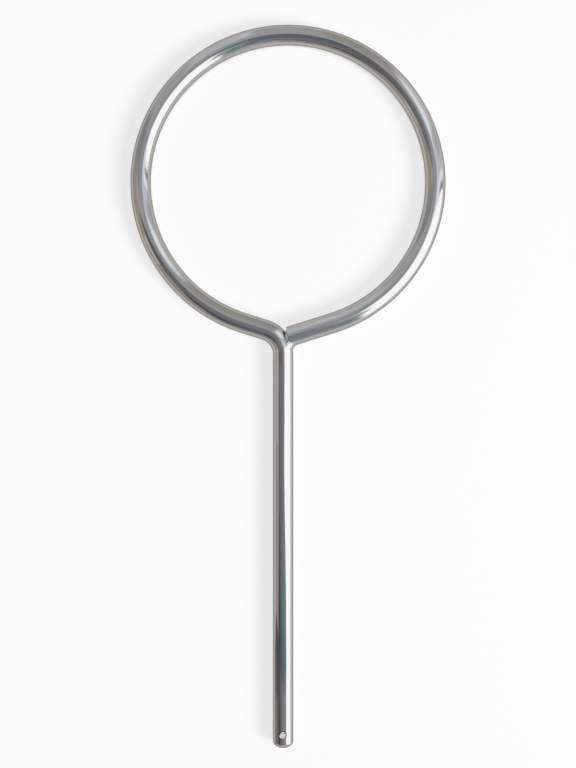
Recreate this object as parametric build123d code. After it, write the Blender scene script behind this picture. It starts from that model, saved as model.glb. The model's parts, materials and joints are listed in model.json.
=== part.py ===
from build123d import *

import os
from math import cos, radians, sin, sqrt, tan

# Support ring for a laboratory stand: one polished stainless rod, bent into a ring with a stem.
#
# The rod runs straight up the stem, turns through a tight bend, goes round the ring and comes
# back to the bend. There its free end is butted against the bend's outside and closed with a
# small weld in the crotch below. Both ends are domed, and the stem's tip has a cross hole.
#
# The ring lies in the XY plane with its centre at the origin, and the stem points along -Y.

# Driving dimensions, in millimetres and degrees.
ROD_DIAMETER = 10.0
RING_INSIDE_DIAMETER = 135.0
STEM_REACH = 278.0  # from the ring's centre to the tip of the stem
STEM_OFFSET = 2.4  # how far the stem stands to the left of the ring's centre
TAIL_ANGLE = 17.5  # slope of the two straight tails that leave the ring
BEND_RADIUS = 12.5  # of the rod's centre line, between the left tail and the stem
STEM_DOME_HEIGHT = 2.5
FREE_DOME_HEIGHT = 1.2
HOLE_DIAMETER = 3.0
HOLE_FROM_TIP = 7.3
COUNTERSINK_DEPTH = 0.6
WELD_PENETRATION = 0.8  # how deep the free end's dome is melted into the bend
WELD_FILLET_RADIUS = 3.0  # of the weld's hollow face, between the bend and the free tail
WELD_CROWN_RADIUS = 3.3  # of the weld's rounding from the front to the back
WELD_SINK = 0.04  # how deep the hollow face runs into the two rods that it joins

# The rod and the ring's centre line.
rod_radius = ROD_DIAMETER / 2
ring_radius = RING_INSIDE_DIAMETER / 2 + rod_radius
slope = radians(TAIL_ANGLE)
stem_x = -STEM_OFFSET

# The tails leave the ring as tangents, at the same height on the left and on the right.
left_leave = Vector(-ring_radius * sin(slope), -ring_radius * cos(slope))
right_leave = Vector(ring_radius * sin(slope), -ring_radius * cos(slope))
along_left_tail = Vector(cos(slope), -sin(slope))  # from the ring to the bend
along_right_tail = Vector(-cos(slope), -sin(slope))  # from the ring to the bend
off_right_tail = Vector(sin(slope), -cos(slope))  # square to the right tail, out of the ring

# The bend rounds the corner where the left tail's axis meets the stem's axis.
bend_angle = 90 - TAIL_ANGLE
bend_tangent = BEND_RADIUS * tan(radians(bend_angle) / 2)
corner = left_leave + along_left_tail * ((stem_x - left_leave.X) / cos(slope))
bend_top = corner - along_left_tail * bend_tangent
bend_foot = corner - Vector(0, bend_tangent)
bend_centre = bend_foot - Vector(BEND_RADIUS, 0)
stem_foot = Vector(stem_x, STEM_DOME_HEIGHT - STEM_REACH)


def run_to_circle(start, direction, centre, radius):
    """How far a line runs from its start to the point where it enters a circle."""
    offset = start - centre
    run = -offset.dot(direction)
    return run - sqrt(run**2 - offset.dot(offset) + radius**2)


def rod_section(seat, direction):
    """The rod's round section at a point of its centre line."""
    return Plane(origin=seat, z_dir=direction) * Circle(rod_radius)


def dome(height, seat, direction):
    """A spherical cap as wide as the rod, standing on a seat and pointing along a direction."""
    cap_radius = (rod_radius**2 + height**2) / (2 * height)
    base = Line((0, 0), (rod_radius, 0))
    crown = RadiusArc((rod_radius, 0), (0, height), -cap_radius)
    middle = Line((0, height), (0, 0))
    cap = revolve(Plane.XZ * make_face(base + crown + middle), Axis.Z)
    return Plane(origin=seat, z_dir=direction).location * cap


def bent_rod():
    """The stem, the bend, the left tail and the ring, as one sweep along the rod's centre line."""
    stem = Line(stem_foot, bend_foot)
    bend = JernArc(start=bend_foot, tangent=(0, 1), radius=BEND_RADIUS, arc_size=bend_angle)
    left_tail = Line(bend_top, left_leave)
    ring_turn = 2 * TAIL_ANGLE - 360
    ring = JernArc(
        start=left_leave, tangent=-along_left_tail, radius=ring_radius, arc_size=ring_turn
    )
    path = Wire([stem.edge(), bend.edge(), left_tail.edge(), ring.edge()])
    return sweep(rod_section(stem_foot, (0, 1, 0)), path=path)


def free_tail():
    """The straight right tail, whose dome reaches into the bend by the weld's penetration."""
    reach = BEND_RADIUS + rod_radius - WELD_PENETRATION
    to_tip = run_to_circle(right_leave, along_right_tail, bend_centre, reach)
    straight = to_tip - FREE_DOME_HEIGHT
    tail = extrude(rod_section(right_leave, along_right_tail), straight)
    seat = right_leave + along_right_tail * straight
    return tail + dome(FREE_DOME_HEIGHT, seat, along_right_tail)


def weld():
    """The bead in the crotch: part of a ring whose hollow side faces out, hidden at both ends."""
    stand_off = rod_radius + WELD_FILLET_RADIUS - WELD_SINK
    # The hollow face's centre lies at the stand-off from the free tail and from the bend.
    beside_tail = right_leave + off_right_tail * stand_off
    to_centre = run_to_circle(
        beside_tail, along_right_tail, bend_centre, BEND_RADIUS + stand_off
    )
    centre = beside_tail + along_right_tail * to_centre
    to_bend = (bend_centre - centre).normalized()
    turn = to_bend.get_angle(-off_right_tail)
    path_radius = WELD_FILLET_RADIUS + WELD_CROWN_RADIUS
    start = centre + to_bend * path_radius
    forward = Vector(-to_bend.Y, to_bend.X)
    path = JernArc(start=start, tangent=-forward, radius=path_radius, arc_size=-turn)
    section = Plane(origin=start, z_dir=-forward) * Circle(WELD_CROWN_RADIUS)
    return sweep(section, path=path.edge())


def cross_drill():
    """The drill for the hole in the stem's tip, with a 45 degree countersink at each side."""
    hole_radius = HOLE_DIAMETER / 2
    straight_half = rod_radius - COUNTERSINK_DEPTH
    # The cones run on past the rod, as far out as they reach into it.
    clear_half = rod_radius + COUNTERSINK_DEPTH
    mouth_radius = hole_radius + clear_half - straight_half
    profile = Polyline(
        (0, -clear_half),
        (mouth_radius, -clear_half),
        (hole_radius, -straight_half),
        (hole_radius, straight_half),
        (mouth_radius, clear_half),
        (0, clear_half),
        close=True,
    )
    drill = revolve(Plane.XZ * make_face(profile), Axis.Z)
    return Pos(stem_x, HOLE_FROM_TIP - STEM_REACH, 0) * drill


def support_ring():
    """The whole rod: bent, domed, welded and drilled."""
    stem_dome = dome(STEM_DOME_HEIGHT, stem_foot, (0, -1, 0))
    rod = bent_rod() + stem_dome + free_tail() + weld()
    return rod - cross_drill()


os.makedirs("parts", exist_ok=True)
export_step(support_ring(), "parts/support_ring.step")
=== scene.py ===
"""Looks of a laboratory support ring: one polished stainless rod, bent into a ring with a stem.

The rod is swept along its centre line by Geometry Nodes, drilled across at the stem's tip, and
closed by a small weld. Around it stands a studio: a pale floor, two soft lamps, and a tent of
cards that only mirror-like metal sees. Everything is in metres, in the frame of the CAD model.
"""

import json
import logging
from dataclasses import dataclass
from enum import Enum
from math import acos, atan2, ceil, cos, pi, radians, sin, sqrt, tan
from typing import Protocol

import bpy
from bpy.types import ID, Material, Node, NodeOutputs, NodeSocket, NodeTree, Object
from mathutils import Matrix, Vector

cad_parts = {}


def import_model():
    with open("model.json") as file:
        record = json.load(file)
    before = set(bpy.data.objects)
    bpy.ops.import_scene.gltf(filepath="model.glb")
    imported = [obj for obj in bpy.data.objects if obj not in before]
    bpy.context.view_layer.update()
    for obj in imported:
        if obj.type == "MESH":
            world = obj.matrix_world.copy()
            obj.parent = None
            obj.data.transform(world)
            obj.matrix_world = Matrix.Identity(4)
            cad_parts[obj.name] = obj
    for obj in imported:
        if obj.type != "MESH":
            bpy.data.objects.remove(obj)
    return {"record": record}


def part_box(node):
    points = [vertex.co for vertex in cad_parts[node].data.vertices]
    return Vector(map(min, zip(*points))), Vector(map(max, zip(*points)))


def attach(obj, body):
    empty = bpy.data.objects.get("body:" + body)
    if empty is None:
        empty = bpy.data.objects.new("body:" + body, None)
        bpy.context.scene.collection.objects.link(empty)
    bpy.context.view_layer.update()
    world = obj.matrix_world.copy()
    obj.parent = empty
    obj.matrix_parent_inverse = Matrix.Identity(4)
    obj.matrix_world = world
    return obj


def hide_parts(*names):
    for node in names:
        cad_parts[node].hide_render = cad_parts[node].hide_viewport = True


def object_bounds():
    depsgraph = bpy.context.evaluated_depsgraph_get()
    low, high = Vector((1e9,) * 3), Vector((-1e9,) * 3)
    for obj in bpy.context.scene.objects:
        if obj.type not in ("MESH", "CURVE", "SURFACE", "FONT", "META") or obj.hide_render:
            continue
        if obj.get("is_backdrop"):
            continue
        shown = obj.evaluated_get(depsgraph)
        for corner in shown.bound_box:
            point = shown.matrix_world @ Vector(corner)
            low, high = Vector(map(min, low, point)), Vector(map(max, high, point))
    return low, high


LOG = logging.getLogger("support_ring")
MM = 0.001
HALF_TURN, FULL_TURN = 180, 360  # degrees
NODE = "support_ring"
BODY = "root"
STEEL_COLOUR = "#B3B0AC"  # the slightly warm grey of stainless steel
MERGE_GAP = 1e-6  # metres: points of a swept mesh closer than this are one
SHARP_ANGLE = radians(40)  # an edge that turns by more than this stays sharp

# What the view takes in: the point below the camera, the length that it shows, and its height.
VIEW_CENTRE = Vector((0.0, -99.1 * MM, 0.0))
VIEW_LENGTH = 377.8 * MM
CAMERA_HEIGHT = 720 * MM

Place = tuple[float, float, float]
BoardEdge = tuple[Place, Place, str, str]  # its two ends, and the colour at each


def linear(hex_colour: str) -> tuple[float, float, float, float]:
    """Turns an sRGB hex colour into the linear colour that Blender takes.

    Args:
        hex_colour: Six hex digits after a number sign.

    Returns:
        Red, green, blue and an alpha of 1.
    """
    channels = [int(hex_colour[i : i + 2], 16) / 255 for i in (1, 3, 5)]
    flat = [c / 12.92 if c <= 0.04045 else ((c + 0.055) / 1.055) ** 2.4 for c in channels]
    return flat[0], flat[1], flat[2], 1.0


def add_node(
    tree: NodeTree,
    kind: str,
    inputs: dict[str | int, object] | None = None,
    **settings: object,
) -> Node:
    """Adds a node, sets its properties, and fills or links its inputs.

    Args:
        tree: The tree that gets the node.
        kind: Blender's type name of the node.
        inputs: Input name or index to a value, or to the socket that it is linked from.
        **settings: The node's own properties.

    Returns:
        The new node.
    """
    node = tree.nodes.new(kind)
    for name, value in settings.items():
        setattr(node, name, value)
    for key, value in (inputs or {}).items():
        socket = node.inputs[key]
        if isinstance(value, NodeSocket):
            tree.links.new(value, socket)
        else:
            socket.default_value = value
    return node


def math_node(tree: NodeTree, operation: str, *values: object) -> NodeSocket:
    """Adds one sum to a tree.

    Args:
        tree: The tree.
        operation: The Math node's operation.
        *values: Its two or three values, as numbers or sockets.

    Returns:
        The socket of the result.
    """
    node = add_node(tree, "ShaderNodeMath", dict(enumerate(values)), operation=operation)
    return node.outputs[0]


def looking_ray(tree: NodeTree) -> NodeSocket:
    """Adds the test for a ray that looks: from the camera, or off or through a clear surface.

    Args:
        tree: The tree.

    Returns:
        The socket that gives 1 for such a ray and 0 for one that only carries light.
    """
    rays = add_node(tree, "ShaderNodeLightPath").outputs
    seen = math_node(tree, "MAXIMUM", rays["Is Camera Ray"], rays["Is Glossy Ray"])
    return math_node(tree, "MAXIMUM", seen, rays["Is Transmission Ray"])


def new_material(name: str) -> tuple[Material, NodeTree]:
    """Starts a material, and gives it with its empty node tree."""
    material = bpy.data.materials.new(name)
    material.use_nodes = True
    material.node_tree.nodes.clear()
    return material, material.node_tree


def new_object(name: str, data: ID) -> Object:
    """Makes an object of a mesh, curve, lamp or camera, and puts it in the scene."""
    thing = bpy.data.objects.new(name, data)
    bpy.context.scene.collection.objects.link(thing)
    return thing


def soft_edge(inside: float, width: float) -> float:
    """Rises smoothly from 0 to 1 across an edge of some width, and is half way up on it."""
    t = min(1.0, max(0.0, inside / width + 0.5))
    return t * t * (3 - 2 * t)


# ---------------------------------------------------------------- the centre line


class Stretch(Protocol):
    """A part of a centre line: something with a length and a point at each distance."""

    step: float

    def length(self) -> float:
        """Its length."""

    def point(self, distance: float) -> Vector:
        """Its point at a distance from its start."""


@dataclass(frozen=True)
class Run:
    """A straight stretch of a centre line."""

    start: Vector
    end: Vector
    step: float

    def length(self) -> float:
        """The distance between its two ends."""
        return (self.end - self.start).length

    def point(self, distance: float) -> Vector:
        """The point at a distance from its start."""
        return self.start.lerp(self.end, distance / self.length())


@dataclass(frozen=True)
class Turn:
    """A round stretch of a centre line, in the ring's plane. Angles are in radians from +X."""

    centre: Vector
    radius: float
    start_angle: float
    sweep: float
    step: float

    def length(self) -> float:
        """The length of its arc."""
        return abs(self.sweep) * self.radius

    def point(self, distance: float) -> Vector:
        """The point at a distance from its start."""
        angle = self.start_angle + self.sweep * distance / self.length()
        return self.centre + self.radius * Vector((cos(angle), sin(angle), 0))


def direction_angle(vector: Vector) -> float:
    """The angle of a direction in the ring's plane, from +X."""
    return atan2(vector.y, vector.x)


def run_to_circle(start: Vector, direction: Vector, centre: Vector, radius: float) -> float:
    """Finds how far a line runs until it enters a circle.

    Args:
        start: Where the line starts.
        direction: Its unit direction.
        centre: The circle's centre.
        radius: The circle's radius.

    Returns:
        The distance along the line.
    """
    offset = start - centre
    run = -offset.dot(direction)
    return run - sqrt(run**2 - offset.length_squared + radius**2)


# ---------------------------------------------------------------- sizes


@dataclass(frozen=True)
class RodSizes:
    """The sizes of the rod: those that the frame gives, and the ones of its bends and ends."""

    rod_radius: float
    ring_radius: float  # of the rod's centre line
    stem_x: float
    tip_y: float
    hole_y: float
    hole_radius: float
    slope: float = radians(17.5)  # of the two straight tails that leave the ring
    bend_radius: float = 12.5 * MM
    stem_dome: float = 2.5 * MM
    free_dome: float = 0.4 * MM
    free_turn: float = radians(8.3)  # the free end is bent in a little, closer to the bend's side
    countersink: float = 0.6 * MM
    weld_penetration: float = 0.8 * MM
    weld_fillet: float = 3.0 * MM
    weld_crown: float = 4.3 * MM
    weld_sink: float = 0.04 * MM

    @classmethod
    def from_frame(cls, record: dict) -> "RodSizes":
        """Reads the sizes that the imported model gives.

        Args:
            record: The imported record, with its mounts.

        Returns:
            The sizes of the rod.
        """
        low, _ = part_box(NODE)
        mounts = {mount["name"]: mount for mount in record["mounts"]}
        stem, hole = mounts["stem"], mounts["end_hole"]
        rod_radius = stem["dims"]["r_mm"] * MM
        return cls(
            rod_radius=rod_radius,
            ring_radius=mounts["ring_seat"]["dims"]["r_mm"] * MM + rod_radius,
            stem_x=stem["pos_m"][0],
            tip_y=low.y,
            hole_y=hole["pos_m"][1],
            hole_radius=hole["dims"]["r_mm"] * MM,
        )


@dataclass(frozen=True)
class Layout:
    """The points and directions that the rod's stretches and its weld share."""

    sizes: RodSizes

    @property
    def left_leave(self) -> Vector:
        """Where the left tail leaves the ring."""
        size = self.sizes
        return -size.ring_radius * Vector((sin(size.slope), cos(size.slope), 0))

    @property
    def right_leave(self) -> Vector:
        """Where the right tail leaves the ring."""
        return Vector((-self.left_leave.x, self.left_leave.y, 0))

    @property
    def left_tail(self) -> Vector:
        """The left tail's direction, from the ring to the bend."""
        return Vector((cos(self.sizes.slope), -sin(self.sizes.slope), 0))

    @property
    def right_tail(self) -> Vector:
        """The right tail's direction, from the ring to the bend."""
        return Vector((-cos(self.sizes.slope), -sin(self.sizes.slope), 0))

    @property
    def off_right_tail(self) -> Vector:
        """Square to the right tail, out of the ring."""
        return Vector((sin(self.sizes.slope), -cos(self.sizes.slope), 0))

    @property
    def bend_turn(self) -> float:
        """How far the rod turns between the stem and the left tail."""
        return pi / 2 - self.sizes.slope

    @property
    def bend_tangent(self) -> float:
        """How far the bend's ends lie from the corner that it rounds."""
        return self.sizes.bend_radius * tan(self.bend_turn / 2)

    @property
    def corner(self) -> Vector:
        """Where the left tail's axis meets the stem's."""
        size = self.sizes
        reach = (size.stem_x - self.left_leave.x) / cos(size.slope)
        return self.left_leave + self.left_tail * reach

    @property
    def bend_foot(self) -> Vector:
        """Where the stem ends and the bend starts."""
        return self.corner - Vector((0, self.bend_tangent, 0))

    @property
    def bend_top(self) -> Vector:
        """Where the bend ends and the left tail starts."""
        return self.corner - self.left_tail * self.bend_tangent

    @property
    def bend_centre(self) -> Vector:
        """The centre of the bend's arc."""
        return self.bend_foot - Vector((self.sizes.bend_radius, 0, 0))

    @property
    def free_turn_start(self) -> Vector:
        """Where the right tail starts its last short turn, at whose end it meets the bend."""
        size = self.sizes
        reach = size.bend_radius + size.rod_radius - size.weld_penetration
        run = run_to_circle(self.right_leave, self.right_tail, self.bend_centre, reach)
        return self.right_leave + self.right_tail * (run - size.bend_radius * size.free_turn)

    @property
    def stand_off(self) -> float:
        """How far the weld's hollow face has its centre from the axes of the bend and the tail."""
        size = self.sizes
        return size.rod_radius + size.weld_fillet - size.weld_sink

    @property
    def weld_centre(self) -> Vector:
        """The centre of the weld's hollow face, in the crotch below the free end."""
        beside = self.right_leave + self.off_right_tail * self.stand_off
        reach = self.sizes.bend_radius + self.stand_off
        run = run_to_circle(beside, self.right_tail, self.bend_centre, reach)
        return beside + self.right_tail * run


# ---------------------------------------------------------------- finishes


@dataclass(frozen=True)
class ElectropolishedStainless:
    """Stainless steel rod, drawn, bent and electropolished.

    It mirrors its surroundings almost sharply. Drawing and bending leave long shallow ripples
    along the rod, which make the mirrored edges wander, and the polish leaves a faint haze.
    """

    name: str = "electropolished_stainless"
    colour: str = STEEL_COLOUR
    edge_tint: str = "#A8A5A1"  # the film on handled steel dulls the grazing mirror
    roughness: float = 0.06
    haze: float = 0.06  # how much rougher the haziest places are
    ripple_width_mm: float = 2.6  # across the rod
    ripple_length_mm: float = 16.0  # along the rod
    ripple_height_mm: float = 0.03
    ripple_detail: float = 1.0
    haze_size_mm: float = 9.0
    haze_detail: float = 3.0
    haze_patches: tuple[float, float] = (0.35, 0.75)  # the noise where haze starts and is full

    def material(self) -> Material:
        """Builds the material.

        Returns:
            The material, which reads the piece's grain attribute in millimetres.
        """
        material, tree = new_material(self.name)
        grain = add_node(tree, "ShaderNodeAttribute", attribute_name="grain_mm")
        across, along = 1 / self.ripple_width_mm, 1 / self.ripple_length_mm
        stretched = add_node(
            tree,
            "ShaderNodeMapping",
            {"Vector": grain.outputs["Vector"], "Scale": (across, across, along)},
        )
        ripple = add_node(
            tree,
            "ShaderNodeTexNoise",
            {"Vector": stretched.outputs["Vector"], "Scale": 1.0, "Detail": self.ripple_detail},
        )
        bump = add_node(
            tree,
            "ShaderNodeBump",
            {
                "Height": ripple.outputs["Fac"],
                "Distance": self.ripple_height_mm * MM,
                "Strength": 1.0,
            },
        )
        clouds = add_node(
            tree,
            "ShaderNodeTexNoise",
            {
                "Vector": grain.outputs["Vector"],
                "Scale": 1 / self.haze_size_mm,
                "Detail": self.haze_detail,
            },
        )
        roughness = add_node(
            tree,
            "ShaderNodeMapRange",
            {
                "Value": clouds.outputs["Fac"],
                "From Min": self.haze_patches[0],
                "From Max": self.haze_patches[1],
                "To Min": self.roughness,
                "To Max": self.roughness + self.haze,
            },
        )
        steel = add_node(
            tree,
            "ShaderNodeBsdfPrincipled",
            {
                "Base Color": linear(self.colour),
                "Metallic": 1.0,
                "Specular Tint": linear(self.edge_tint),
                "Roughness": roughness.outputs["Result"],
                "Normal": bump.outputs["Normal"],
            },
        )
        add_node(tree, "ShaderNodeOutputMaterial", {"Surface": steel.outputs["BSDF"]})
        return material


@dataclass(frozen=True)
class ReamedStainlessPaintedLight:
    """Bare stainless steel as the drill and the reamer leave it, with no film on it.

    Its fine turning marks spread the mirror. Its colour, far paler than the rod's steel, is
    painted light, so the narrow hole looks light inside.
    """

    name: str = "reamed_stainless_painted_light"
    # painted light: far paler than the rod's steel, so the shaded hole looks lit
    colour: str = "#F0EEEB"
    roughness: float = 0.3

    def material(self) -> Material:
        """Builds the material."""
        material, tree = new_material(self.name)
        steel = add_node(
            tree,
            "ShaderNodeBsdfPrincipled",
            {"Base Color": linear(self.colour), "Metallic": 1.0, "Roughness": self.roughness},
        )
        add_node(tree, "ShaderNodeOutputMaterial", {"Surface": steel.outputs["BSDF"]})
        return material


@dataclass(frozen=True)
class SatinBoard:
    """Laminated studio board: pale and even, with a soft sheen at low angles.

    It is part white by itself to whatever looks at it, so its shadows stay light.
    """

    name: str = "satin_laminated_board"
    colour: str = "#F8F8F8"
    roughness: float = 0.45
    white_share: float = 0.62
    ior: float = 1.5

    def material(self) -> Material:
        """Builds the board's material."""
        material, tree = new_material(self.name)
        board = add_node(
            tree,
            "ShaderNodeBsdfPrincipled",
            {"Base Color": linear(self.colour), "Roughness": self.roughness, "IOR": self.ior},
        )
        sheen = add_node(tree, "ShaderNodeFresnel", {"IOR": self.ior}).outputs[0]
        share = math_node(tree, "MULTIPLY", looking_ray(tree), self.white_share)
        share = math_node(tree, "MULTIPLY", share, math_node(tree, "SUBTRACT", 1.0, sheen))
        white = add_node(
            tree, "ShaderNodeEmission", {"Color": linear("#FFFFFF"), "Strength": 1.0}
        )
        both = add_node(
            tree,
            "ShaderNodeMixShader",
            {0: share, 1: board.outputs["BSDF"], 2: white.outputs["Emission"]},
        )
        add_node(tree, "ShaderNodeOutputMaterial", {"Surface": both.outputs["Shader"]})
        return material


# ---------------------------------------------------------------- geometry node trees


def new_tree(name: str, inputs: dict[str, tuple[str, float | None]]) -> NodeTree:
    """Starts a Geometry Nodes tree with a geometry socket at each end and named inputs.

    Args:
        name: The tree's name.
        inputs: Input name to its socket type and its default value, if it has one.

    Returns:
        The tree.
    """
    tree = bpy.data.node_groups.new(name, "GeometryNodeTree")
    face = tree.interface
    face.new_socket("Geometry", in_out="INPUT", socket_type="NodeSocketGeometry")
    for label, (kind, value) in inputs.items():
        socket = face.new_socket(label, in_out="INPUT", socket_type=kind)
        if value is not None:
            socket.default_value = value
    face.new_socket("Geometry", in_out="OUTPUT", socket_type="NodeSocketGeometry")
    return tree


def store_attribute(
    tree: NodeTree,
    geometry: NodeSocket,
    name: str,
    value: NodeSocket,
    kind: str = "FLOAT_VECTOR",
) -> NodeSocket:
    """Adds the step that stores a named attribute on a geometry, and gives that geometry."""
    values = {"Geometry": geometry, "Name": name, "Value": value}
    node = add_node(tree, "GeometryNodeStoreNamedAttribute", values, data_type=kind)
    return node.outputs["Geometry"]


def read_attribute(tree: NodeTree, name: str, kind: str = "FLOAT_VECTOR") -> NodeSocket:
    """Adds the step that reads a named attribute, and gives its socket."""
    node = add_node(tree, "GeometryNodeInputNamedAttribute", {"Name": name}, data_type=kind)
    return node.outputs["Attribute"]


def scaled(tree: NodeTree, vector: NodeSocket, scale: object) -> NodeSocket:
    """Adds a vector's scaling by a number or a socket, and gives the result's socket."""
    values = {0: vector, "Scale": scale}
    return add_node(tree, "ShaderNodeVectorMath", values, operation="SCALE").outputs["Vector"]


def transformed(tree: NodeTree, geometry: NodeSocket, change: str, value: object) -> NodeSocket:
    """Adds one change of place, a Translation or a Rotation, and gives the moved geometry."""
    values = {"Geometry": geometry, change: value}
    return add_node(tree, "GeometryNodeTransform", values).outputs["Geometry"]


def dome_radius(
    tree: NodeTree, distance: NodeSocket, height: NodeSocket, rod: NodeSocket
) -> NodeSocket:
    """Adds the rule of a domed end: the rod's radius at a distance from the dome's tip.

    Args:
        tree: The tree.
        distance: How far along the centre line from the tip.
        height: The dome's height.
        rod: The rod's own radius.

    Returns:
        The socket of the radius, which keeps growing past the rod's own where the dome ends.
    """
    squares = math_node(tree, "MULTIPLY", rod, rod)
    squares = math_node(tree, "MULTIPLY_ADD", height, height, squares)
    ball = math_node(tree, "DIVIDE", squares, math_node(tree, "MULTIPLY", height, 2.0))
    depth = math_node(tree, "MINIMUM", distance, ball)
    gap = math_node(tree, "SUBTRACT", ball, depth)
    inside = math_node(tree, "MULTIPLY", ball, ball)
    inside = math_node(tree, "SUBTRACT", inside, math_node(tree, "MULTIPLY", gap, gap))
    return math_node(tree, "SQRT", math_node(tree, "MAXIMUM", inside, 0.0))


def finish_tree(tree: NodeTree, mesh: NodeSocket, given: NodeOutputs) -> None:
    """Ends a tree with smooth faces, sharp edges past an angle, real meshes and one material.

    Args:
        tree: The tree.
        mesh: The socket that gives the finished mesh.
        given: The tree's inputs, with Sharp Angle and Material.
    """
    faces = add_node(
        tree,
        "GeometryNodeSetShadeSmooth",
        {"Geometry": mesh, "Shade Smooth": True},
        domain="FACE",
    )
    angle = add_node(tree, "GeometryNodeInputMeshEdgeAngle").outputs["Unsigned Angle"]
    sharp = add_node(
        tree,
        "FunctionNodeCompare",
        {"A": angle, "B": given["Sharp Angle"]},
        data_type="FLOAT",
        operation="GREATER_THAN",
    )
    edges = add_node(
        tree,
        "GeometryNodeSetShadeSmooth",
        {
            "Geometry": faces.outputs["Geometry"],
            "Selection": sharp.outputs["Result"],
            "Shade Smooth": False,
        },
        domain="EDGE",
    )
    real = add_node(
        tree, "GeometryNodeRealizeInstances", {"Geometry": edges.outputs["Geometry"]}
    )
    dressed = add_node(
        tree,
        "GeometryNodeSetMaterial",
        {"Geometry": real.outputs["Geometry"], "Material": given["Material"]},
    )
    add_node(tree, "NodeGroupOutput", {"Geometry": dressed.outputs["Geometry"]})


def sweep_tree() -> NodeTree:
    """Builds the tree that sweeps a round section along a curve and closes it with two domes.

    The surface keeps an attribute, grain_mm: the place round the section in X and Y, and the
    distance along the curve in Z.
    """
    real, whole = "NodeSocketFloat", "NodeSocketInt"
    tree = new_tree(
        "round_sweep",
        {
            "Radius": (real, 5 * MM),
            "Start Dome": (real, 2 * MM),
            "End Dome": (real, 2 * MM),
            "Shoulder": (real, 0.3 * MM),
            "Ripple Depth": (real, 0.0),
            "Ripple Pitch": (real, 1 * MM),
            "Sides": (whole, 96),
            "Sharp Angle": (real, SHARP_ANGLE),
            "Material": ("NodeSocketMaterial", None),
        },
    )
    given = add_node(tree, "NodeGroupInput").outputs
    along = add_node(tree, "GeometryNodeSplineParameter").outputs["Length"]
    total = add_node(tree, "GeometryNodeSplineLength").outputs["Length"]
    start = dome_radius(tree, along, given["Start Dome"], given["Radius"])
    left = math_node(tree, "SUBTRACT", total, along)
    left = math_node(tree, "MAXIMUM", left, 0.0)
    end = dome_radius(tree, left, given["End Dome"], given["Radius"])
    radius = math_node(tree, "MINIMUM", start, end)
    radius = math_node(tree, "SMOOTH_MIN", radius, given["Radius"], given["Shoulder"])
    wave = math_node(tree, "DIVIDE", along, given["Ripple Pitch"])
    wave = math_node(tree, "SINE", math_node(tree, "MULTIPLY", wave, 2 * pi))
    wave = math_node(tree, "MULTIPLY", wave, given["Ripple Depth"])
    swell = math_node(tree, "DIVIDE", radius, given["Radius"])
    radius = math_node(tree, "MULTIPLY_ADD", wave, swell, radius)

    # Both the curve and the section hand their own place on to the surface.
    marked = store_attribute(tree, given["Geometry"], "along_m", along, "FLOAT")
    upright = add_node(tree, "GeometryNodeSetCurveNormal", {"Curve": marked}, mode="Z_UP")
    circle = add_node(
        tree,
        "GeometryNodeCurvePrimitiveCircle",
        {"Resolution": given["Sides"], "Radius": 1.0},
        mode="RADIUS",
    )
    place = add_node(tree, "GeometryNodeInputPosition").outputs["Position"]
    section = store_attribute(tree, circle.outputs["Curve"], "around", place)
    swept = add_node(
        tree,
        "GeometryNodeCurveToMesh",
        {"Curve": upright.outputs["Curve"], "Profile Curve": section, "Scale": radius},
    )
    closed = add_node(
        tree,
        "GeometryNodeMergeByDistance",
        {"Geometry": swept.outputs["Mesh"], "Distance": MERGE_GAP},
    )
    around = scaled(tree, read_attribute(tree, "around"), given["Radius"])
    lengthwise = add_node(
        tree, "ShaderNodeCombineXYZ", {"Z": read_attribute(tree, "along_m", "FLOAT")}
    )
    both = add_node(
        tree,
        "ShaderNodeVectorMath",
        {0: around, 1: lengthwise.outputs["Vector"]},
        operation="ADD",
    )
    in_mm = scaled(tree, both.outputs["Vector"], 1 / MM)
    grained = store_attribute(tree, closed.outputs["Geometry"], "grain_mm", in_mm)
    finish_tree(tree, grained, given)
    return tree


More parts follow.
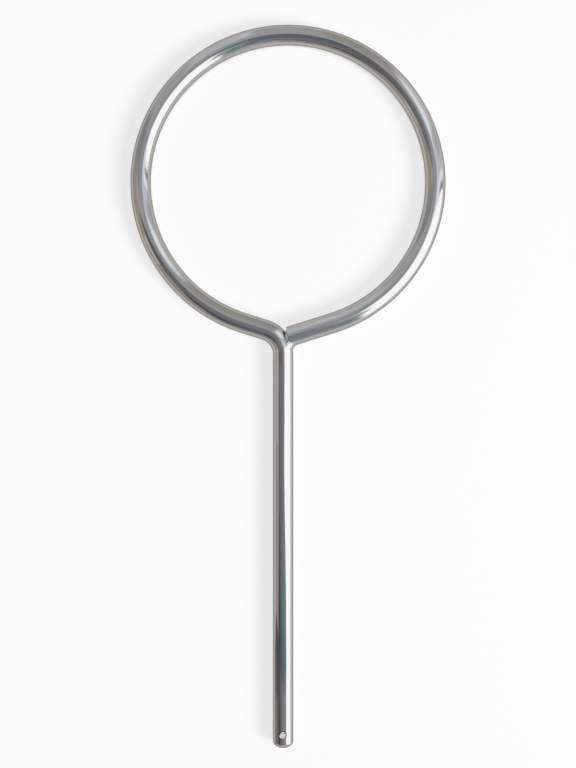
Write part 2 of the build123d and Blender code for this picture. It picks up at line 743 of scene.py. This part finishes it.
def drill_tree() -> NodeTree:
    """Builds the tree that drills a countersunk hole along Z, right through a piece."""
    shank_length = 3.0  # rod radii, so it stands out on both sides
    cone_height = 2.0  # countersink depths
    real, whole = "NodeSocketFloat", "NodeSocketInt"
    tree = new_tree(
        "cross_drill",
        {
            "Place": ("NodeSocketVector", None),
            "Rod Radius": (real, 5 * MM),
            "Hole Radius": (real, 1.5 * MM),
            "Countersink": (real, 0.5 * MM),
            "Sides": (whole, 64),
            "Sharp Angle": (real, SHARP_ANGLE),
            "Material": ("NodeSocketMaterial", None),
        },
    )
    given = add_node(tree, "NodeGroupInput").outputs
    depth = math_node(tree, "MULTIPLY", given["Rod Radius"], shank_length)
    shank = add_node(
        tree,
        "GeometryNodeMeshCylinder",
        {"Vertices": given["Sides"], "Radius": given["Hole Radius"], "Depth": depth},
    )
    # Each countersink starts below the rod's face and runs on past it, at 45 degrees.
    height = math_node(tree, "MULTIPLY", given["Countersink"], cone_height)
    mouth = math_node(tree, "ADD", given["Hole Radius"], height)
    cone = add_node(
        tree,
        "GeometryNodeMeshCone",
        {
            "Vertices": given["Sides"],
            "Radius Top": mouth,
            "Radius Bottom": given["Hole Radius"],
            "Depth": height,
        },
    )
    seat = math_node(tree, "SUBTRACT", given["Rod Radius"], given["Countersink"])
    lift = add_node(tree, "ShaderNodeCombineXYZ", {"Z": seat}).outputs["Vector"]
    top = transformed(tree, cone.outputs["Mesh"], "Translation", lift)
    bottom = transformed(tree, top, "Rotation", (pi, 0, 0))
    drilled = add_node(
        tree,
        "GeometryNodeMeshBoolean",
        {"Mesh 1": given["Geometry"]},
        operation="DIFFERENCE",
        solver="MANIFOLD",
    )
    for part in (shank.outputs["Mesh"], top, bottom):
        placed = transformed(tree, part, "Translation", given["Place"])
        tree.links.new(placed, drilled.inputs["Mesh 2"])
    # The walls that the drill leaves have no grain of their own, so they take the nearest.
    nearest = add_node(
        tree,
        "GeometryNodeSampleNearestSurface",
        {"Mesh": given["Geometry"], "Value": read_attribute(tree, "grain_mm")},
        data_type="FLOAT_VECTOR",
    )
    grained = store_attribute(
        tree, drilled.outputs["Mesh"], "grain_mm", nearest.outputs["Value"]
    )
    finish_tree(tree, grained, given)
    return tree


def add_tree(piece: Object, tree: NodeTree, values: dict[str, object]) -> None:
    """Puts a tree on an object and sets its named inputs by their sockets' identifiers.

    Args:
        piece: The object.
        tree: The tree.
        values: Input name to its value.
    """
    modifier = piece.modifiers.new(tree.name, "NODES")
    modifier.node_group = tree
    for item in tree.interface.items_tree:
        if item.in_out == "INPUT" and item.name in values:
            modifier[item.identifier] = values[item.name]


def plain_mesh(source: Object, name: str) -> Object:
    """Turns an object and its trees into a plain mesh, and removes the source.

    Args:
        source: The object with its modifiers.
        name: The new piece's name.

    Returns:
        The new piece, at the origin.
    """
    evaluated = source.evaluated_get(bpy.context.evaluated_depsgraph_get())
    mesh = bpy.data.meshes.new_from_object(evaluated)
    mesh.name = name
    for attribute in ("along_m", "around"):
        if attribute in mesh.attributes:
            mesh.attributes.remove(mesh.attributes[attribute])
    bpy.data.objects.remove(source)
    return new_object(name, mesh)


def curve_through(name: str, points: list[Vector]) -> Object:
    """Makes a curve object of one plain spline.

    Args:
        name: The object's name.
        points: The spline's points.

    Returns:
        The curve object, in the scene.
    """
    curve = bpy.data.curves.new(name, "CURVE")
    curve.dimensions = "3D"
    spline = curve.splines.new("POLY")
    spline.points.add(len(points) - 1)
    for place, point in zip(spline.points, points):
        place.co = (*point, 1.0)
    return new_object(name, curve)


# ---------------------------------------------------------------- the pieces


@dataclass(frozen=True)
class BentRod:
    """The rod: stem, bend, left tail, ring and right tail, with its domes and its cross hole."""

    layout: Layout
    straight_step: float = 2.0 * MM
    ring_step: float = 1.1 * MM
    bend_step: float = 0.35 * MM
    dome_steps: int = 18
    sides: int = 96
    shoulder: float = 0.25 * MM  # how far the polish softens the domes' rims
    rim_steps: tuple[float, ...] = (0.25, 0.5, 1.0, 2.0, 4.0)  # past a rim, in shoulders
    wall_tilt: float = 0.5  # a face of the hole's wall points up or down less than this

    def stretches(self) -> list[Stretch]:
        """The centre line's stretches, from the stem's tip to the free end's tip."""
        place, size = self.layout, self.layout.sizes
        tip = Vector((size.stem_x, size.tip_y, 0))
        ring_start = direction_angle(place.left_leave)
        ring_sweep = 2 * size.slope - 2 * pi
        return [
            Run(tip, place.bend_foot, self.straight_step),
            Turn(place.bend_centre, size.bend_radius, 0.0, place.bend_turn, self.bend_step),
            Run(place.bend_top, place.left_leave, self.straight_step),
            Turn(Vector(), size.ring_radius, ring_start, ring_sweep, self.ring_step),
            Run(place.right_leave, place.free_turn_start, self.straight_step),
            Turn(
                place.free_turn_start - place.off_right_tail * size.bend_radius,
                size.bend_radius,
                direction_angle(place.off_right_tail),
                -size.free_turn,
                self.bend_step,
            ),
        ]

    def dome_distances(self, height: float) -> list[float]:
        """Distances from a dome's tip that follow its curve closely, past its rim.

        Args:
            height: The dome's height.

        Returns:
            The distances, from the tip's 0 on.
        """
        rod = self.layout.sizes.rod_radius
        ball = (rod**2 + height**2) / (2 * height)
        rim = acos(1 - height / ball)
        shares = [i / self.dome_steps for i in range(self.dome_steps + 1)]
        on_dome = [ball * (1 - cos(rim * share)) for share in shares]
        past_rim = [height + self.shoulder * step for step in self.rim_steps]
        return on_dome + past_rim

    def point(self, distance: float) -> Vector:
        """The centre line's point at a distance from the stem's tip."""
        for stretch in self.stretches():
            if distance <= stretch.length():
                return stretch.point(distance)
            distance -= stretch.length()
        return stretch.point(stretch.length())

    def points(self) -> list[Vector]:
        """The centre line's points, closer together on the bends and at the domes."""
        start_dome = self.dome_distances(self.layout.sizes.stem_dome)
        end_dome = self.dome_distances(self.layout.sizes.free_dome)
        steps, total = [], 0.0
        for stretch in self.stretches():
            length = stretch.length()
            count = ceil(length / stretch.step)
            steps += [total + length * i / count for i in range(count)]
            total += length
        first = start_dome[-1] + self.bend_step
        last = total - end_dome[-1] - self.bend_step
        between = [distance for distance in steps if first < distance < last]
        distances = start_dome + between + [total - distance for distance in reversed(end_dome)]
        return [self.point(distance) for distance in distances]

    def dress_bore(self, rod: Object, bore: Material) -> None:
        """Gives the hole's wall its own finish, whose pale colour is painted light.

        Args:
            rod: The finished rod.
            bore: The wall's material.
        """
        size = self.layout.sizes
        rod.data.materials.append(bore)
        wall_index = len(rod.data.materials) - 1
        for face in rod.data.polygons:
            off_axis = face.center.xy - Vector((size.stem_x, size.hole_y))
            in_hole = off_axis.length < size.hole_radius + size.countersink
            if in_hole and abs(face.normal.z) < self.wall_tilt:
                face.material_index = wall_index

    def build(self, finish: Material, bore: Material) -> Object:
        """Builds the rod and hides the CAD node that it stands for.

        Args:
            finish: The rod's material.
            bore: The material of the hole's wall.

        Returns:
            The finished piece.
        """
        size = self.layout.sizes
        source = curve_through("rod_centre_line", self.points())
        sweep = {
            "Radius": size.rod_radius,
            "Start Dome": size.stem_dome,
            "End Dome": size.free_dome,
            "Shoulder": self.shoulder,
            "Sides": self.sides,
            "Material": finish,
        }
        drill = {
            "Place": (size.stem_x, size.hole_y, 0.0),
            "Rod Radius": size.rod_radius,
            "Hole Radius": size.hole_radius,
            "Countersink": size.countersink,
            "Material": finish,
        }
        add_tree(source, sweep_tree(), sweep)
        add_tree(source, drill_tree(), drill)
        rod = plain_mesh(source, "bent_rod")
        self.dress_bore(rod, bore)
        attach(rod, BODY)
        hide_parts(NODE)
        return rod


@dataclass(frozen=True)
class WeldBead:
    """The bead in the crotch below the free end: part of a ring whose hollow side faces out."""

    layout: Layout
    step: float = 0.15 * MM
    sides: int = 64
    overrun: float = radians(4)  # how far the bead runs on inside the two rods
    end_dome: float = 1.0 * MM
    shoulder: float = 0.25 * MM
    ripple_depth: float = 0.03 * MM  # the filler's ripples, almost polished away
    ripple_pitch: float = 1.1 * MM

    def arc(self) -> Turn:
        """The bead's centre line, from inside the free end to inside the bend."""
        place, size = self.layout, self.layout.sizes
        to_bend = place.bend_centre - place.weld_centre
        turn = to_bend.angle(-place.off_right_tail)
        return Turn(
            place.weld_centre,
            size.weld_fillet + size.weld_crown,
            direction_angle(to_bend) + self.overrun,
            -(turn + 2 * self.overrun),
            self.step,
        )

    def build(self, finish: Material) -> Object:
        """Builds the bead.

        Args:
            finish: Its material.

        Returns:
            The finished piece.
        """
        arc = self.arc()
        count = ceil(arc.length() / arc.step)
        points = [arc.point(arc.length() * i / count) for i in range(count + 1)]
        source = curve_through("weld_centre_line", points)
        values = {
            "Radius": self.layout.sizes.weld_crown,
            "Start Dome": self.end_dome,
            "End Dome": self.end_dome,
            "Shoulder": self.shoulder,
            "Ripple Depth": self.ripple_depth,
            "Ripple Pitch": self.ripple_pitch,
            "Sides": self.sides,
            "Material": finish,
        }
        add_tree(source, sweep_tree(), values)
        bead = plain_mesh(source, "weld_bead")
        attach(bead, BODY)
        return bead


# ---------------------------------------------------------------- the studio


def card_light(colour: str) -> Vector:
    """The light that a card gives off, so that the steel shows it in a colour.

    Args:
        colour: The colour that the steel is to show.

    Returns:
        The card's light.
    """
    shown, steel = linear(colour), linear(STEEL_COLOUR)
    return Vector([shown[i] / steel[i] for i in range(3)])


def glowing_mesh(
    name: str,
    vertices: list[Place],
    faces: list[tuple[int, ...]],
    lights: list[Vector],
) -> Object:
    """Makes a mesh that gives off light and that only mirroring surfaces see.

    Args:
        name: The mesh's name.
        vertices: Its corners.
        faces: Its faces.
        lights: The light at each corner.

    Returns:
        The object, in the scene and marked as a part of the stage.
    """
    mesh = bpy.data.meshes.new(name)
    mesh.from_pydata(vertices, [], faces)
    colours = mesh.color_attributes.new("card_light", "FLOAT_COLOR", "POINT")
    colours.data.foreach_set("color", [x for light in lights for x in (*light, 1.0)])
    material, tree = new_material(name)
    light = add_node(tree, "ShaderNodeAttribute", attribute_name="card_light")
    glow = add_node(tree, "ShaderNodeEmission", {"Color": light.outputs["Color"]})
    add_node(tree, "ShaderNodeOutputMaterial", {"Surface": glow.outputs["Emission"]})
    mesh.materials.append(material)
    card = new_object(name, mesh)
    card.visible_camera = False
    card.visible_diffuse = False
    card.visible_shadow = False
    card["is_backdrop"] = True
    return card


class Edge(Enum):
    """How softly a card ends, in degrees."""

    SHARP = 2.0
    CLEAR = 4.0
    SOFT = 7.0
    FADING = 13.0


@dataclass(frozen=True)
class Card:
    """A card of the tent, in degrees: bearing clockwise from +Y, and the angle from overhead."""

    bearings: tuple[float, float]
    heights: tuple[float, float]
    colour: str  # as the steel shows it
    edge: Edge = Edge.SOFT
    strength: float = 1.0

    def cover(self, bearing: float, height: float) -> float:
        """How much of this card shows in a direction.

        Args:
            bearing: The direction's bearing.
            height: Its angle from overhead.

        Returns:
            From 0, beside the card, to its strength, on it.
        """
        middle = sum(self.bearings) / 2
        half = (self.bearings[1] - self.bearings[0]) / 2
        off = abs((bearing - middle + HALF_TURN) % FULL_TURN - HALF_TURN)
        width = self.edge.value
        sideways = soft_edge(half - off, width) if half < HALF_TURN else 1.0
        above = soft_edge(height - self.heights[0], width)
        below = soft_edge(self.heights[1] - height, width)
        return sideways * above * below * self.strength


@dataclass(frozen=True)
class ReflectionTent:
    """A tent of cards round the object, seen only by what mirrors it.

    Polished metal shows little of its own colour: what it shows is the room, with a bright
    window, grey walls and the dark of whoever stands at the camera. These glowing cards are a
    painted reflection of that room, not lamps.
    """

    cards: tuple[Card, ...]
    radius: float = 1.0
    grid_degrees: float = 1.0
    lowest: float = 97.0  # degrees from overhead, a little below the floor

    def light(self, bearing: float, height: float) -> Vector:
        """The light that comes from a direction, with the later cards over the earlier ones."""
        light = Vector((0.0, 0.0, 0.0))
        for card in self.cards:
            light = light.lerp(card_light(card.colour), card.cover(bearing, height))
        return light

    def build(self) -> Object:
        """Builds the tent as one dome whose corners hold the cards' light."""
        columns = round(FULL_TURN / self.grid_degrees)
        rows = ceil(self.lowest / self.grid_degrees)
        vertices, lights = [], []
        for row in range(rows + 1):
            height = self.lowest * row / rows
            for column in range(columns):
                bearing = FULL_TURN * column / columns
                flat = self.radius * sin(radians(height))
                up = self.radius * cos(radians(height))
                east, north = sin(radians(bearing)), cos(radians(bearing))
                vertices.append((flat * east, flat * north, up))
                lights.append(self.light(bearing, height))
        faces = [
            (
                row * columns + column,
                row * columns + (column + 1) % columns,
                (row + 1) * columns + (column + 1) % columns,
                (row + 1) * columns + column,
            )
            for row in range(rows)
            for column in range(columns)
        ]
        return glowing_mesh("reflection_tent", vertices, faces, lights)


@dataclass(frozen=True)
class Board:
    """A glowing board near the object, a painted reflection: a strip of straight edges, with a
    colour at each end.
    """

    name: str
    edges: tuple[BoardEdge, ...]

    def build(self) -> Object:
        """Builds the strip from edge to edge."""
        vertices, lights = [], []
        for start, end, start_colour, end_colour in self.edges:
            vertices += [start, end]
            lights += [card_light(start_colour), card_light(end_colour)]
        faces = [(2 * i, 2 * i + 1, 2 * i + 3, 2 * i + 2) for i in range(len(self.edges) - 1)]
        return glowing_mesh(self.name, vertices, faces, lights)


@dataclass(frozen=True)
class SoftLamp:
    """A square soft lamp that points at the object. Metal mirrors the tent in its place."""

    name: str
    bearing: float  # degrees clockwise from +Y
    height: float  # degrees above the floor
    distance: float
    side: float
    watts: float

    def build(self, target: Vector) -> Object:
        """Builds the lamp.

        Args:
            target: The point that it is aimed at.

        Returns:
            The lamp.
        """
        data = bpy.data.lights.new(self.name, "AREA")
        data.shape = "SQUARE"
        data.size = self.side
        data.energy = self.watts
        lamp = new_object(self.name, data)
        bearing, height = radians(self.bearing), radians(self.height)
        flat = cos(height)
        towards = Vector((sin(bearing) * flat, cos(bearing) * flat, sin(height)))
        lamp.location = target + towards * self.distance
        lamp.rotation_euler = towards.to_track_quat("Z", "Y").to_euler()
        lamp.visible_glossy = False
        return lamp


@dataclass(frozen=True)
class Studio:
    """The floor, the lamps, the cards, the sky and the camera above the object."""

    floor_height: float
    view_centre: Vector
    view_length: float  # how much the view takes in from top to bottom, at the object
    camera_height: float
    lamps: tuple[SoftLamp, ...]
    tent: ReflectionTent
    boards: tuple[Board, ...]
    floor_finish: SatinBoard = SatinBoard()
    floor_side: float = 6.0
    sight: float = 60.0  # how far the camera sees, past the floor's far corners
    sky_fill: float = 0.18
    sensor: float = 36.0 * MM

    def build(self) -> None:
        """Builds the whole studio."""
        self.build_floor()
        self.build_sky()
        for lamp in self.lamps:
            lamp.build(self.view_centre)
        self.tent.build()
        for board in self.boards:
            board.build()
        self.build_camera()

    def build_floor(self) -> None:
        """Lays the plain pale floor that the object lies on."""
        half = self.floor_side / 2
        corners = [(-half, -half), (half, -half), (half, half), (-half, half)]
        mesh = bpy.data.meshes.new("floor")
        mesh.from_pydata([(x, y, self.floor_height) for x, y in corners], [], [(0, 1, 2, 3)])
        mesh.materials.append(self.floor_finish.material())
        new_object("floor", mesh)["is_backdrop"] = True

    def build_sky(self) -> None:
        """Makes the world white to look at, and a softer fill as a light."""
        world = bpy.data.worlds.new("studio_sky")
        world.use_nodes = True
        tree = world.node_tree
        tree.nodes.clear()
        strength = math_node(
            tree, "MULTIPLY_ADD", looking_ray(tree), 1 - self.sky_fill, self.sky_fill
        )
        sky = add_node(
            tree, "ShaderNodeBackground", {"Color": linear("#FFFFFF"), "Strength": strength}
        )
        add_node(tree, "ShaderNodeOutputWorld", {"Surface": sky.outputs["Background"]})
        bpy.context.scene.world = world

    def build_camera(self) -> None:
        """Hangs the camera straight above the object, with the lens that takes in the view."""
        data = bpy.data.cameras.new("camera")
        data.sensor_width = self.sensor / MM
        data.lens = self.sensor / MM * self.camera_height / self.view_length
        data.clip_end = self.sight
        camera = new_object("camera", data)
        camera.location = self.view_centre + Vector((0, 0, self.camera_height))
        bpy.context.scene.camera = camera


# The tent's cards, painted reflections of what stands round the object, from the widest to the
# smallest. A later card covers the earlier.
CARDS = (
    Card((-180, 180), (0, 180), "#949495"),  # the grey walls
    Card((-180, 180), (-50, 12), "#85878A", Edge.FADING),  # the ceiling
    Card((12, 39), (25, 180), "#8A8783", Edge.CLEAR),
    Card((40, 62), (20, 180), "#B2B3B3"),  # a lit curtain
    Card((41, 63), (22, 62), "#D3D6D9", Edge.FADING),
    Card((62, 72), (20, 180), "#9EA1A3", Edge.CLEAR),
    Card((66, 86), (12, 48), "#BCC6CC", strength=0.8),
    Card((72, 86), (45, 180), "#B2B4B8", Edge.CLEAR),
    Card((78, 81.5), (14, 105), "#DCE0E6", Edge.SHARP),
    Card((82.5, 85.5), (48, 180), "#77777A", Edge.SHARP),  # the window's frame
    Card((86, 148), (17, 180), "#F6F6F5", Edge.CLEAR),  # the window
    Card((141, 150), (5, 50), "#96989A", Edge.CLEAR),
    Card((148, 172), (8, 34), "#8A888C"),
    Card((148, 176), (34, 76), "#64807C"),
    Card((148, 176), (76, 180), "#ACA4A8"),
    Card((176, 226), (66, 180), "#867E7A"),
    Card((160, 216), (4, 66), "#575E64"),  # whoever stands at the camera
    Card((206, 268), (6, 52), "#605B58", Edge.FADING),
    Card((224, 286), (48, 180), "#8B837E"),
    Card((214, 268), (33, 47), "#564F4C"),
    Card((285, 304), (18, 86), "#7C7B7C"),
    Card((325, 347), (30, 180), "#A8A9AB"),
    Card((344, 348), (40, 120), "#B4B8BA", Edge.SHARP),
)

# Where the boards of painted reflection stand near the object, in metres. Upright ones have an X,
# a foot and a top.
SLEEVE_HEIGHT = 0.2
STRAP_HEIGHT = 0.03
BOOK = (-0.28, 0.075, 0.175)
BOOK_ENDS = (-0.142, -0.072)
BOOK_REFLECTION_COLOUR = "#ACA6A3"
# Painted shade: a dark glowing sheet on the floor left of the stem, seen only by the steel,
# darkens the stem's mirrored left edge as a shadow would.
SHADE_SHEET = (-0.045, -0.0045, 0.038)
SHADE_SHEET_SHOULDER = (-0.045, 0.001, 0.0175)  # the painted shade sheet narrows to a point at its near end
SHADE_SHEET_POINT = (-0.045, 0.009, 0.013)
PANEL = (0.375, -0.004, 1.0)
PANEL_ENDS = (0.022, -0.30)
WINDOW_REFLECTION_COLOUR = "#F6F6F5"


def sleeve_edge(y: float, left: float, right: float, dark: str, light: str) -> BoardEdge:
    """One edge of the sleeve's painted reflection, from its dark left end to its lighter right
    one.
    """
    return (left, y, SLEEVE_HEIGHT), (right, y, SLEEVE_HEIGHT), dark, light


def upright_edge(stand: Place, y: float, low: str, high: str = "") -> BoardEdge:
    """One upright edge of a board, which may shade to another colour at its top."""
    x, foot, top = stand
    return (x, y, foot), (x, y, top), low, high or low


def strap_edge(bearing: float, inner: float, outer: float, colour: str) -> BoardEdge:
    """One edge of the strap's painted reflection: it points away from the ring's centre."""
    east, north = sin(radians(bearing)), cos(radians(bearing))
    start, end = ((reach * east, reach * north, STRAP_HEIGHT) for reach in (inner, outer))
    return start, end, colour, colour


# Painted reflections: the sleeve hangs above the stem, with the book and the painted shade sheet
# to its left and the window to its right.
# The strap crosses above the ring's far side.
BOARDS = (
    # painted reflection of a dark sleeve, seen only by the steel
    Board(
        "sleeve_painted_reflection",
        (
            sleeve_edge(-0.085, -0.185, 0.030, "#676265", "#6F7077"),
            sleeve_edge(-0.15, -0.195, 0.036, "#585356", "#757882"),
            sleeve_edge(-0.24, -0.255, 0.130, "#263234", "#768286"),
            sleeve_edge(-0.28, -0.272, 0.146, "#1E2C30", "#6C767C"),
            sleeve_edge(-0.30, -0.275, 0.147, "#2A2628", "#8A8E94"),
            sleeve_edge(-0.32, -0.25, 0.135, "#2A2622", "#8A8A8C"),
            sleeve_edge(-0.55, -0.30, 0.20, "#5A524E", "#7A7776"),
        ),
    ),
    # painted reflection of a pale book
    Board("book_painted_reflection", tuple(upright_edge(BOOK, y, BOOK_REFLECTION_COLOUR) for y in BOOK_ENDS)),
    # painted shade: a dark sheet that only the steel mirrors, left of the stem
    Board(
        "painted_shade_sheet",
        (
            upright_edge(SHADE_SHEET, -0.3031, "#786E66", "#6C645E"),
            upright_edge(SHADE_SHEET, -0.2712, "#7C726A", "#5E5650"),
            upright_edge(SHADE_SHEET, -0.2566, "#605652", "#54504E"),
            upright_edge(SHADE_SHEET, -0.2352, "#544A48", "#4C4C4C"),
            upright_edge(SHADE_SHEET_SHOULDER, -0.2222, "#584E4A"),
            upright_edge(SHADE_SHEET_POINT, -0.2175, "#645C58"),
        ),
    ),
    # painted reflection of the window
    Board("window_painted_reflection", tuple(upright_edge(PANEL, y, WINDOW_REFLECTION_COLOUR) for y in PANEL_ENDS)),
    # painted reflection of a strap above the ring
    Board(
        "strap_painted_reflection",
        (
            strap_edge(-30, 0.0624, 0.0716, "#76797C"),
            strap_edge(-13, 0.0593, 0.0728, "#62676A"),
            strap_edge(0, 0.0591, 0.0727, "#5D6164"),
            strap_edge(19, 0.0594, 0.0738, "#525A5B"),
            strap_edge(43, 0.0592, 0.0728, "#646361"),
            strap_edge(56.5, 0.0473, 0.0686, "#66676A"),
            strap_edge(68, 0.0477, 0.0672, "#68686C"),
            strap_edge(80, 0.0481, 0.0621, "#76767A"),
        ),
    ),
)

LAMPS = (
    SoftLamp("window_lamp", bearing=118, height=38, distance=8.0, side=3.2, watts=470),
    SoftLamp("top_lamp", bearing=0, height=90, distance=6.0, side=1.0, watts=125),
)


def corners(box: tuple[Vector, Vector]) -> list[list[float]]:
    """Turns a box's two corners into plain lists."""
    return [[float(x) for x in corner] for corner in box]


def main() -> None:
    """Builds the object and its studio."""
    logging.basicConfig(level=logging.INFO, format="%(name)s: %(message)s")
    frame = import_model()
    cad_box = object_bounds()
    sizes = RodSizes.from_frame(frame["record"])
    layout = Layout(sizes)
    LOG.info("rod %.1f mm thick, tip at %.1f mm", 2 * sizes.rod_radius / MM, sizes.tip_y / MM)

    steel = ElectropolishedStainless().material()
    # the hole's wall takes painted light: a steel far paler than the rod's
    bore = ReamedStainlessPaintedLight().material()
    pieces = [BentRod(layout).build(steel, bore), WeldBead(layout).build(steel)]
    for piece in pieces:
        LOG.info("%s: %d faces", piece.name, len(piece.data.polygons))

    studio = Studio(
        floor_height=cad_box[0].z,
        view_centre=VIEW_CENTRE,
        view_length=VIEW_LENGTH,
        camera_height=CAMERA_HEIGHT,
        lamps=LAMPS,
        tent=ReflectionTent(CARDS),
        boards=BOARDS,
    )
    studio.build()
    bpy.context.scene.view_settings.view_transform = "Standard"
    LOG.info("studio ready")

    visual_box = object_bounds()
    {"cad": corners(cad_box), "visual": corners(visual_box)}


if __name__ == "__main__":
    main()
